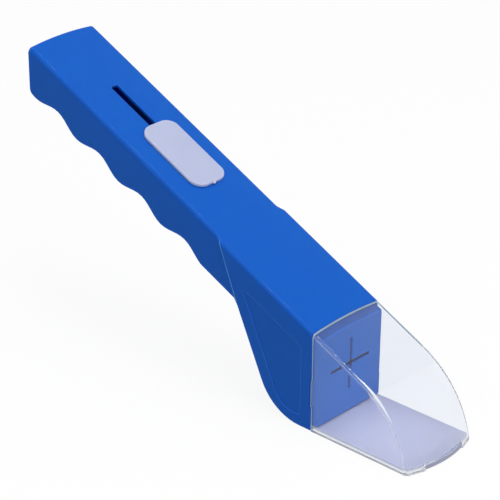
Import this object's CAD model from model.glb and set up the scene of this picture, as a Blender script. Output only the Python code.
from math import acos, asin, cos, pi, radians, sin, tan

import bmesh
import bpy
from mathutils import Matrix, Vector


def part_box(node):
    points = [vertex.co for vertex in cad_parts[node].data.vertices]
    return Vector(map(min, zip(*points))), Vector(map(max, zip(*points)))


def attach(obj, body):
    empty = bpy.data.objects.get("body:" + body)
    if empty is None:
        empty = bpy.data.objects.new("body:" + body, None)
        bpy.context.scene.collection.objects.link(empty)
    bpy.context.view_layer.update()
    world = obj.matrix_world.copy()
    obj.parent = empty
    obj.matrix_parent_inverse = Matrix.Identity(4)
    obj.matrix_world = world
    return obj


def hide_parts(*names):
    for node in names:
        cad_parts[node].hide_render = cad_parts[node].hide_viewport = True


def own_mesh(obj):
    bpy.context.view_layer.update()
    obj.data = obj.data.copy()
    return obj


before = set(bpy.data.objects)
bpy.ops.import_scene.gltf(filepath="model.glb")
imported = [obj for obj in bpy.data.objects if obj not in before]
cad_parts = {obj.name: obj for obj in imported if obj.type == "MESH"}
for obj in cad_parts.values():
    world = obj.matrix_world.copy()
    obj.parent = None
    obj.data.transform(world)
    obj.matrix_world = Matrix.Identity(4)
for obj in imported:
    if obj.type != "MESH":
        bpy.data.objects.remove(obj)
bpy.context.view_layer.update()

# Camera, fitted to the photograph's perspective
camera_place = (0.5998, -0.6492, 0.4991)
camera_right = (0.7339, 0.6791, 0.0064)
camera_up = (-0.3071, 0.3234, 0.8950)
camera_lens = 162.57
sensor_width = 36.0
clip_start = 0.01

# Sizes of the hood and the housing, from the part's source, in metres
tilt = radians(25.1)
hood_half = 0.0215
top_height = 0.0447
handle_reach = 0.1735
mouth_length = 0.0523
mouth_bow = 0.0044
crown = 0.0011
rim_drop = 0.0024
gap = 0.0003
roof_run = 0.0287
hood_wall = 0.0013
joint_round = 0.0018
inner_round = 0.0004
rail_width = 0.0014
rail_height = 0.0010
notch_half_width = 0.0123
tab_low = 0.0090
tab_high = 0.0225
tab_reach = 0.0006
tab_sink = 0.00015
tab_back = 0.0030
overrun = 0.004
step_run = 0.0634
step_length = 0.0036
step_angle = radians(47.2)

# Where the source puts its origin, the joint between the housing and the hood
joint_place = Vector(((handle_reach - mouth_length - mouth_bow) / 2, 0, rim_drop))

# Facets of the hood
nose_steps = 40
crown_steps = 20
corner_steps = 10

# Rounding in metres, its facets, and how many rounds wide the faces beside it have to be
shell_round = 0.0003
small_round = 0.0002
plate_round = 0.00015
round_segments = 3
room_in_rounds = 4

# Angles of edges that are rounded, stay sharp or are too flat to keep, and a weld in metres
corner_angle = radians(38)
crease_angle = radians(32)
flat_angle = radians(0.4)
weld_reach = 0.000002

# How much of a face's normal lies along an axis, for the face to look that way
squareness = 0.9

# Colours, linear
housing_colour = (0.0060, 0.118, 0.58)
bulkhead_colour = (0.0025, 0.146, 0.62)
bulkhead_top_colour = (0.0025, 0.060, 0.30)
lavender_colour = (0.50, 0.545, 0.75)
plate_colour = (0.475, 0.49, 0.66)
housing_edge = (0.07, 0.24, 0.95)
step_edge = (0.12, 0.45, 1.0)
bulkhead_edge = (0.05, 0.20, 0.80)
lavender_edge = (0.72, 0.77, 0.92)
joint_colour = (0.52, 0.76, 1.0)
rim_colour = (0.92, 0.96, 1.0)
through_colour = (0.76, 0.77, 0.78)
strip_colour = (0.60, 0.61, 0.70)
carriage_colour = (0.33, 0.35, 0.48)
strip_edge = (0.70, 0.71, 0.78)
carriage_edge = (0.42, 0.44, 0.56)
clear_colour = (0.962, 0.978, 1.0)
floor_bounce = (0.2, 0.2, 0.21)
floor_shown = (0.98, 0.98, 0.98)
white = (1.0, 1.0, 1.0)

# Translucency: its share, its depth in metres, and each colour's share of that depth
opaque = (0.0, 0.0, white)
blue_glow = (0.35, 0.005, (0.03, 0.15, 1.0))
pale_glow = (0.5, 0.0012, (1.0, 0.9, 0.9))

# Unevenness: scales of the noise, and what it does
tone_scale = 70.0
patch_scale = 210.0
grain_scale = 2600.0
haze_scale = 120.0
frost_scale = 300.0
soft_detail = 3.0
grain_detail = 2.0
noise_low = 0.25
noise_high = 0.75
tone_spread = 0.03
roughness_spread = 0.03
bump_strength = 0.12
bump_depth = 0.00002

# Surfaces
refraction = 1.5
coat_roughness = 0.11
polished = (0.01, 0.03)
frosted = (0.35, 0.5)
full_clearness = 1.0
joint_clearness = 0.15
rim_clearness = 0.9

# Edges: how far they look lighter or round, in metres, and the occlusion limits of that
edge_reach = 0.0004
button_reach = 0.0009
shading_round = 0.00015
edge_start = 0.95
edge_full = 0.45
edge_samples = 8
round_samples = 6

# The bulkhead's lighter front and the light line, in metres, and the line's hold on the sides
top_depth = 0.0006
step_line = 0.0005
side_power = 4.0

# Studio
floor_size = 4.0
floor_drop = 0.0002
floor_whiteness = 0.9
floor_glow = 0.3
glossy_share = 0.25
fill_strength = 0.50
lamp_target = (0, 0, 0.05)
light_bounces = 96


# Nodes
def rgba(colour):
    return (*colour, 1)


def feed(tree, socket, value):
    """Links an input to another node's output, or sets it to a plain value."""
    if isinstance(value, bpy.types.NodeSocket):
        tree.links.new(value, socket)
    else:
        socket.default_value = value


def add_node(tree, kind, inputs):
    node = tree.nodes.new(kind)
    for name, value in inputs.items():
        feed(tree, node.inputs[name], value)
    return node


def maths(tree, operation, *values, clamp=False):
    node = tree.nodes.new("ShaderNodeMath")
    node.operation = operation
    node.use_clamp = clamp
    for socket, value in zip(node.inputs, values):
        feed(tree, socket, value)
    return node.outputs["Value"]


def remap(tree, value, start, end, low=0.0, high=1.0):
    """Goes from low to high while the value goes from start to end."""
    limits = {"From Min": start, "From Max": end, "To Min": low, "To Max": high}
    node = add_node(tree, "ShaderNodeMapRange", {"Value": value, **limits})
    return node.outputs["Result"]


def mix_colours(tree, share, first, second):
    mix = tree.nodes.new("ShaderNodeMix")
    mix.data_type = "RGBA"
    feed(tree, mix.inputs["Factor"], share)
    feed(tree, mix.inputs["A"], first)
    feed(tree, mix.inputs["B"], second)
    return mix.outputs["Result"]


def mix_shaders(tree, share, first, second):
    mix = add_node(tree, "ShaderNodeMixShader", {"Fac": share})
    tree.links.new(first, mix.inputs[1])
    tree.links.new(second, mix.inputs[2])
    return mix.outputs["Shader"]


def noise(tree, scale, detail=soft_detail):
    place = tree.nodes.new("ShaderNodeTexCoord").outputs["Object"]
    values = {"Vector": place, "Scale": scale, "Detail": detail}
    return add_node(tree, "ShaderNodeTexNoise", values).outputs["Fac"]


def spread(tree, scale, low, high):
    """Noise that wanders from low to high."""
    return remap(tree, noise(tree, scale), noise_low, noise_high, low, high)


def outer_edges(tree, reach):
    """1 on an outer edge, and 0 a short way from it."""
    thin = add_node(tree, "ShaderNodeAmbientOcclusion", {"Distance": reach})
    thin.inside = True
    thin.only_local = True
    thin.samples = edge_samples
    return remap(tree, thin.outputs["AO"], edge_start, edge_full)


def seen_ray(tree):
    """1 for what the camera sees, also through the hood, and less for what gloss reflects."""
    path = tree.nodes.new("ShaderNodeLightPath")
    glossy = maths(tree, "MULTIPLY", path.outputs["Is Glossy Ray"], glossy_share)
    seen = maths(tree, "MAXIMUM", path.outputs["Is Camera Ray"], glossy)
    return maths(tree, "MAXIMUM", seen, path.outputs["Is Transmission Ray"])


def new_material(name):
    material = bpy.data.materials.new(name)
    material.use_nodes = True
    tree = material.node_tree
    tree.nodes.clear()
    output = tree.nodes.new("ShaderNodeOutputMaterial")
    return material, tree, output


# Moulded plastic
def moulded_plastic(name, colour, rubbed_colour, roughness, specular, coat, glow=opaque,
                    reach=edge_reach):
    """Plastic with soft tones, uneven roughness, fine grain and lighter rubbed edges."""
    material, tree, output = new_material(name)
    darker = rgba(c * (1 - tone_spread) for c in colour)
    lighter = rgba(c * (1 + tone_spread) for c in colour)
    tones = mix_colours(tree, noise(tree, tone_scale), darker, lighter)
    rubbed = mix_colours(tree, outer_edges(tree, reach), tones, rgba(rubbed_colour))
    smoother, rougher = roughness - roughness_spread, roughness + roughness_spread

    soft_edge = add_node(tree, "ShaderNodeBevel", {"Radius": shading_round})
    soft_edge.samples = round_samples
    bump = add_node(tree, "ShaderNodeBump", {
        "Strength": bump_strength,
        "Distance": bump_depth,
        "Height": noise(tree, grain_scale, grain_detail),
        "Normal": soft_edge.outputs["Normal"],
    })

    glow_share, glow_depth, glow_reach = glow
    shader = add_node(tree, "ShaderNodeBsdfPrincipled", {
        "Base Color": rubbed,
        "Roughness": spread(tree, patch_scale, smoother, rougher),
        "Normal": bump.outputs["Normal"],
        "IOR": refraction,
        "Specular IOR Level": specular,
        "Coat Weight": coat,
        "Coat Roughness": coat_roughness,
        "Subsurface Weight": glow_share,
        "Subsurface Scale": glow_depth,
        "Subsurface Radius": glow_reach,
    })
    tree.links.new(shader.outputs["BSDF"], output.inputs["Surface"])
    return material


def repaint(material, share, facing, colour):
    """Lays another colour over faces that look one way, as far as the share says."""
    tree = material.node_tree
    shader = next(n for n in tree.nodes if n.type == "BSDF_PRINCIPLED")
    base = shader.inputs["Base Color"]
    both = maths(tree, "MULTIPLY", share, facing, clamp=True)
    painted = mix_colours(tree, both, base.links[0].from_socket, rgba(colour))
    tree.links.new(painted, base)


def place_and_facing(tree):
    place = tree.nodes.new("ShaderNodeTexCoord")
    facing = add_node(tree, "ShaderNodeSeparateXYZ", {"Vector": place.outputs["Normal"]})
    return place.outputs["Object"], facing.outputs


def tint_behind(material, front, depth, colour):
    """Turns upper faces behind a plane across x to another colour."""
    tree = material.node_tree
    place, facing = place_and_facing(tree)
    split = add_node(tree, "ShaderNodeSeparateXYZ", {"Vector": place})
    share = remap(tree, split.outputs["X"], front, front - depth)
    repaint(material, share, facing["Z"], colour)


def light_line(material, point, direction, width, colour):
    """Lightens the side walls in a line, where a plane through a point crosses them."""
    tree = material.node_tree
    place, facing = place_and_facing(tree)
    along = tree.nodes.new("ShaderNodeVectorMath")
    along.operation = "DOT_PRODUCT"
    feed(tree, along.inputs[0], place)
    feed(tree, along.inputs[1], direction)
    near = maths(tree, "COMPARE", along.outputs["Value"], point.dot(direction), width / 2)
    side = maths(tree, "POWER", facing["Y"], side_power)
    repaint(material, near, side, colour)


def housing_finish():
    """Blue, with a light line where the housing steps out to its wider front."""
    material = moulded_plastic(
        "housing_blue_moulded", housing_colour, housing_edge,
        roughness=0.40, specular=0.04, coat=0.14, glow=blue_glow
    )
    run = step_length - step_run
    point = joint_place + Vector((run * cos(tilt), 0, top_height - run * sin(tilt)))
    direction = Vector((cos(step_angle - tilt), 0, sin(step_angle - tilt)))
    light_line(material, point, direction, step_line, step_edge)
    return material


def bulkhead_finish():
    """Blue, and darker on top, behind its front face."""
    material = moulded_plastic(
        "bulkhead_blue_moulded", bulkhead_colour, bulkhead_edge,
        roughness=0.40, specular=0.04, coat=0.1
    )
    tint_behind(material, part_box("vent_bulkhead")[1][0], top_depth, bulkhead_top_colour)
    return material


def button_finish():
    return moulded_plastic(
        "pale_lavender_moulded", lavender_colour, lavender_edge,
        roughness=0.42, specular=0.2, coat=0.1, glow=pale_glow, reach=button_reach
    )


def plate_finish():
    return moulded_plastic(
        "pale_lavender_plate", plate_colour, lavender_edge,
        roughness=0.42, specular=0.2, coat=0.1, glow=pale_glow
    )


def strip_finish():
    return moulded_plastic(
        "natural_strip_moulded", strip_colour, strip_edge, roughness=0.5, specular=0.25, coat=0.0
    )


def carriage_finish():
    return moulded_plastic(
        "carriage_grey_moulded", carriage_colour, carriage_edge,
        roughness=0.45, specular=0.3, coat=0.0
    )


# Clear plastic
def see_through(tree, colour, clearness, scale, roughness):
    shader = add_node(tree, "ShaderNodeBsdfPrincipled", {
        "Base Color": rgba(colour),
        "Transmission Weight": clearness,
        "IOR": refraction,
        "Roughness": spread(tree, scale, *roughness),
    })
    return shader.outputs["BSDF"]


def clear_plastic(name):
    """Polished plastic. Lamps shine straight through it, a little dimmed."""
    material, tree, output = new_material(name)
    clear = see_through(tree, clear_colour, full_clearness, haze_scale, polished)
    through = add_node(tree, "ShaderNodeBsdfTransparent", {"Color": rgba(through_colour)})
    path = tree.nodes.new("ShaderNodeLightPath")
    surface = mix_shaders(tree, path.outputs["Is Shadow Ray"], clear, through.outputs["BSDF"])
    tree.links.new(surface, output.inputs["Surface"])
    return material


def frosted_plastic(name, colour, clearness):
    """The same plastic on its edges, where it looks pale."""
    material, tree, output = new_material(name)
    surface = see_through(tree, colour, clearness, frost_scale, frosted)
    tree.links.new(surface, output.inputs["Surface"])
    return material


# Shapes
def new_object(name, shape):
    mesh = bpy.data.meshes.new(name)
    shape.to_mesh(mesh)
    shape.free()
    item = bpy.data.objects.new(name, mesh)
    bpy.context.scene.collection.objects.link(item)
    return item


def loft(name, rings):
    shape = bmesh.new()
    rows = [[shape.verts.new(Vector(point) + joint_place) for point in ring] for ring in rings]
    count = len(rows[0])
    for low, high in zip(rows, rows[1:]):
        for k in range(count):
            n = (k + 1) % count
            shape.faces.new((low[k], low[n], high[n], high[k]))
    shape.faces.new(rows[0][::-1])
    shape.faces.new(rows[-1])
    bmesh.ops.recalc_face_normals(shape, faces=shape.faces)
    return new_object(name, shape)


def box(name, low, high):
    shape = bmesh.new()
    bmesh.ops.create_cube(shape, size=1)
    size = Vector(high) - Vector(low)
    bmesh.ops.scale(shape, vec=size, verts=shape.verts)
    bmesh.ops.translate(shape, vec=Vector(low) + size / 2 + joint_place, verts=shape.verts)
    return new_object(name, shape)


def apply_modifiers(item):
    bpy.context.view_layer.update()
    made = item.evaluated_get(bpy.context.evaluated_depsgraph_get())
    mesh = bpy.data.meshes.new_from_object(made)
    item.modifiers.clear()
    item.data = mesh


def combine(item, other, operation):
    modifier = item.modifiers.new(other.name, "BOOLEAN")
    modifier.operation = operation
    modifier.object = other
    modifier.solver = "EXACT"
    apply_modifiers(item)
    bpy.data.objects.remove(other)


def merge_flat(shape):
    """Merges points that coincide, and facets that lie in one plane."""
    bmesh.ops.remove_doubles(shape, verts=shape.verts, dist=weld_reach)
    bmesh.ops.dissolve_limit(
        shape, angle_limit=flat_angle, verts=shape.verts, edges=shape.edges
    )


def weld(item):
    shape = bmesh.new()
    shape.from_mesh(item.data)
    merge_flat(shape)
    shape.to_mesh(item.data)
    shape.free()


def soften_shading(item):
    """Smooth faces with sharp creases, and flat areas that stay flat."""
    shape = bmesh.new()
    shape.from_mesh(item.data)
    merge_flat(shape)
    for face in shape.faces:
        face.smooth = True
    for edge in shape.edges:
        edge.smooth = len(edge.link_faces) == 2 and edge.calc_face_angle() < crease_angle
    shape.to_mesh(item.data)
    shape.free()
    weigh = item.modifiers.new("weigh", "WEIGHTED_NORMAL")
    weigh.keep_sharp = True


def room_beside(edge, face):
    """How far the face reaches from its edge."""
    start = edge.verts[0].co
    along = (edge.verts[1].co - start).normalized()
    return max((v.co - start - along * (v.co - start).dot(along)).length for v in face.verts)


def round_edges(item, radius):
    """Rounds each outer sharp edge that has wide faces beside it."""
    shape = bmesh.new()
    shape.from_mesh(item.data)
    weight = shape.edges.layers.float.new("bevel_weight_edge")
    for edge in shape.edges:
        if edge.is_convex and edge.calc_face_angle() > corner_angle:
            room = min(room_beside(edge, face) for face in edge.link_faces)
            edge[weight] = float(room >= room_in_rounds * radius)
    shape.to_mesh(item.data)
    shape.free()
    bevel = item.modifiers.new("round", "BEVEL")
    bevel.limit_method = "WEIGHT"
    bevel.width = radius
    bevel.segments = round_segments
    bevel.use_clamp_overlap = False
    bevel.harden_normals = False
    bevel.miter_outer = "MITER_ARC"
    apply_modifiers(item)


# Hood
def crown_at(y):
    return 1 - (y / hood_half) ** 2


def corner_inset(y, half, corner):
    past = min(max(abs(y) - half + corner, 0), corner)
    return corner - (corner ** 2 - past ** 2) ** 0.5


def nose():
    """Centre and radius of the arc that carries the roof on to the mouth."""
    start = Vector((roof_run * cos(tilt), 0, top_height - roof_run * sin(tilt)))
    up = Vector((sin(tilt), 0, cos(tilt)))
    reach = Vector((mouth_length, 0, 0)) - start
    radius = -reach.length_squared / (2 * reach.dot(up))
    centre = start - up * radius
    return centre.x, centre.z, radius


def hood_ring(y, half, inset, corner, rear, low):
    """The hood's outline in a plane at y, from the joint over the roof to the mouth."""
    centre_x, centre_z, radius = nose()
    inward = inset + corner_inset(y, half, corner)
    level = asin((mouth_length - centre_x) / radius)
    end_radius = radius + mouth_bow * crown_at(y) - inward
    end = acos((low - centre_z) / end_radius)
    roof = crown * crown_at(y) - inward
    points = [(rear, low), (rear, top_height - rear * tan(tilt) + roof / cos(tilt))]
    for k in range(nose_steps + 1):
        angle = tilt + (end - tilt) * k / nose_steps
        share = min((angle - tilt) / (level - tilt), 1)
        bulge = (crown + (mouth_bow - crown) * share) * crown_at(y)
        reach = radius + bulge - inward
        points.append((centre_x + reach * sin(angle), centre_z + reach * cos(angle)))
    return [(x, y, z) for x, z in points]


def hood_solid(name, inset, corner, rear, low):
    half = hood_half - inset
    turns = [pi / 2 * k / corner_steps for k in range(corner_steps + 1)]
    side = [half - corner + corner * sin(a) for a in turns]
    across = [(half - corner) * (2 * k / crown_steps - 1) for k in range(1, crown_steps)]
    stations = [-y for y in reversed(side)] + across + side
    return loft(name, [hood_ring(y, half, inset, corner, rear, low) for y in stations])


def snap_tab(side):
    y = sorted((side * (hood_half - hood_wall + tab_sink), side * (hood_half - tab_sink)))
    low = (gap / 2 - tab_reach, y[0], tab_low + gap)
    return box("tab", low, (tab_back, y[1], tab_high - gap))


def hood_shell():
    hood = hood_solid("clear_hood_shell", 0, joint_round, gap / 2, -rim_drop)
    _, _, radius = nose()
    low = (mouth_length - mouth_bow, -notch_half_width, -rim_drop - overrun)
    notch = box("notch", low, (mouth_length + radius, notch_half_width, gap))
    rail_top = rail_height - rim_drop
    combine(hood, notch, "DIFFERENCE")
    combine(hood, hood_solid("chamber", hood_wall, inner_round, -overrun, rail_top), "DIFFERENCE")
    mouth = hood_solid("mouth", hood_wall + rail_width, inner_round, -overrun, -rim_drop - overrun)
    band = box("band", (-2 * overrun, -hood_half, -rim_drop - 2 * overrun),
               (2 * mouth_length, hood_half, rail_top + overrun))
    combine(mouth, band, "INTERSECT")
    combine(hood, mouth, "DIFFERENCE")
    for side in (-1, 1):
        combine(hood, snap_tab(side), "UNION")
    soften_shading(hood)
    return hood


def clear_hood(clear, joint, rim):
    """The hood, with finishes of their own on its rear edge and on its lower faces."""
    hood = hood_shell()
    hood.data.materials.clear()
    for material in (clear, joint, rim):
        hood.data.materials.append(material)
    rear = joint_place.x + gap / 2
    for face in hood.data.polygons:
        at_rear = face.normal.x < -squareness and face.center.x < rear + gap
        below = face.normal.z < -squareness and face.center.z < gap
        face.material_index = 1 if at_rear else 2 if below else 0
    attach(hood, "housing")
    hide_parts("clear_hood")


# The other pieces
def finer(node, body, material, radius):
    """A copy of a CAD node with rounded edges and smooth shading, in the node's place."""
    item = bpy.data.objects.new(node + "_moulded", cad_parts[node].data.copy())
    bpy.context.scene.collection.objects.link(item)
    weld(item)
    round_edges(item, radius)
    soften_shading(item)
    item.data.materials.clear()
    item.data.materials.append(material)
    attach(item, body)
    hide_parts(node)
    return item


def draw_back(plate):
    """Shortens the plate as it opens, because the rest of it bends away round the belly."""
    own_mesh(plate)


def dress_nodes():
    housing = housing_finish()
    bulkhead = bulkhead_finish()
    lavender = button_finish()
    plate = plate_finish()
    strip = strip_finish()
    carriage = carriage_finish()
    clear = clear_plastic("clear_plastic_polished")
    joint = frosted_plastic("clear_plastic_joint_edge", joint_colour, joint_clearness)
    rim = frosted_plastic("clear_plastic_rim_edge", rim_colour, rim_clearness)
    looks = {
        "body_shell": housing,
        "grip_cover": housing,
        "thumb_button": lavender,
        "vent_bulkhead": bulkhead,
        "clear_hood": clear,
        "trap_plate": plate,
        "flexible_strip": strip,
        "strip_guide": carriage,
        "slide_carriage": carriage,
    }
    for node, material in looks.items():
        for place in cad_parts[node].material_slots:
            place.material = material

    clear_hood(clear, joint, rim)
    finer("body_shell", "housing", housing, shell_round)
    finer("grip_cover", "housing", housing, shell_round)
    finer("vent_bulkhead", "housing", bulkhead, small_round)
    finer("thumb_button", "slider", lavender, small_round)
    draw_back(finer("trap_plate", "housing", plate, plate_round))


# Studio
def floor_material():
    """Matt white that glows, and that throws less light on the part than it shows."""
    material, tree, output = new_material("floor_white")
    seen = seen_ray(tree)
    shade = mix_colours(tree, seen, rgba(floor_bounce), rgba(floor_shown))
    matt = add_node(tree, "ShaderNodeBsdfDiffuse", {"Color": shade})
    glow = tree.nodes.new("ShaderNodeEmission")
    share = remap(tree, seen, 0.0, 1.0, floor_glow, floor_whiteness)
    surface = mix_shaders(tree, share, matt.outputs["BSDF"], glow.outputs["Emission"])
    tree.links.new(surface, output.inputs["Surface"])
    return material


def add_floor():
    shape = bmesh.new()
    bmesh.ops.create_grid(shape, x_segments=1, y_segments=1, size=floor_size)
    floor = new_object("floor", shape)
    floor.location = (0, 0, -floor_drop)
    floor.data.materials.append(floor_material())


def add_lamp(name, place, size, power, shows=False):
    """A lamp aimed at the part, which gloss and the hood show only where it says so."""
    data = bpy.data.lights.new(name, "AREA")
    data.shape = "RECTANGLE"
    data.size, data.size_y = size
    data.energy = power
    lamp = bpy.data.objects.new(name, data)
    lamp.location = place
    aim = Vector(lamp_target) - Vector(place)
    lamp.rotation_euler = aim.to_track_quat("-Z", "Y").to_euler()
    lamp.visible_glossy = shows
    lamp.visible_transmission = shows
    bpy.context.scene.collection.objects.link(lamp)


def light_world():
    """White behind the part, and a weaker white that lights it."""
    world = bpy.data.worlds.new("studio")
    world.use_nodes = True
    tree = world.node_tree
    tree.nodes.clear()
    output = tree.nodes.new("ShaderNodeOutputWorld")
    fill, backdrop = [
        add_node(tree, "ShaderNodeBackground", {"Color": rgba(white), "Strength": strength})
        for strength in (fill_strength, 1.0)
    ]
    surface = mix_shaders(
        tree, seen_ray(tree), fill.outputs["Background"], backdrop.outputs["Background"]
    )
    tree.links.new(surface, output.inputs["Surface"])
    bpy.context.scene.world = world


def add_camera():
    data = bpy.data.cameras.new("camera")
    data.lens = camera_lens
    data.sensor_width = sensor_width
    data.clip_start = clip_start
    camera = bpy.data.objects.new("camera", data)
    right = Vector(camera_right).normalized()
    back = right.cross(Vector(camera_up)).normalized()
    up = back.cross(right)
    turn = Matrix((right, up, back)).transposed().to_4x4()
    camera.matrix_world = Matrix.Translation(camera_place) @ turn
    bpy.context.scene.collection.objects.link(camera)
    bpy.context.scene.camera = camera


dress_nodes()
add_floor()
light_world()
add_lamp("key", place=(0.75, -0.1, 1.1), size=(0.9, 0.9), power=5.2)
add_lamp("edge", place=(0.1, 0.12, 1.25), size=(0.9, 0.06), power=3.4, shows=True)
add_lamp("near edge", place=(-0.1, -1.0, 1.0), size=(1.8, 0.05), power=2.0, shows=True)
add_camera()
bpy.context.scene.view_settings.view_transform = "Standard"
bpy.context.scene.cycles.max_bounces = light_bounces
bpy.context.scene.cycles.transmission_bounces = light_bounces
bpy.context.scene.cycles.glossy_bounces = light_bounces
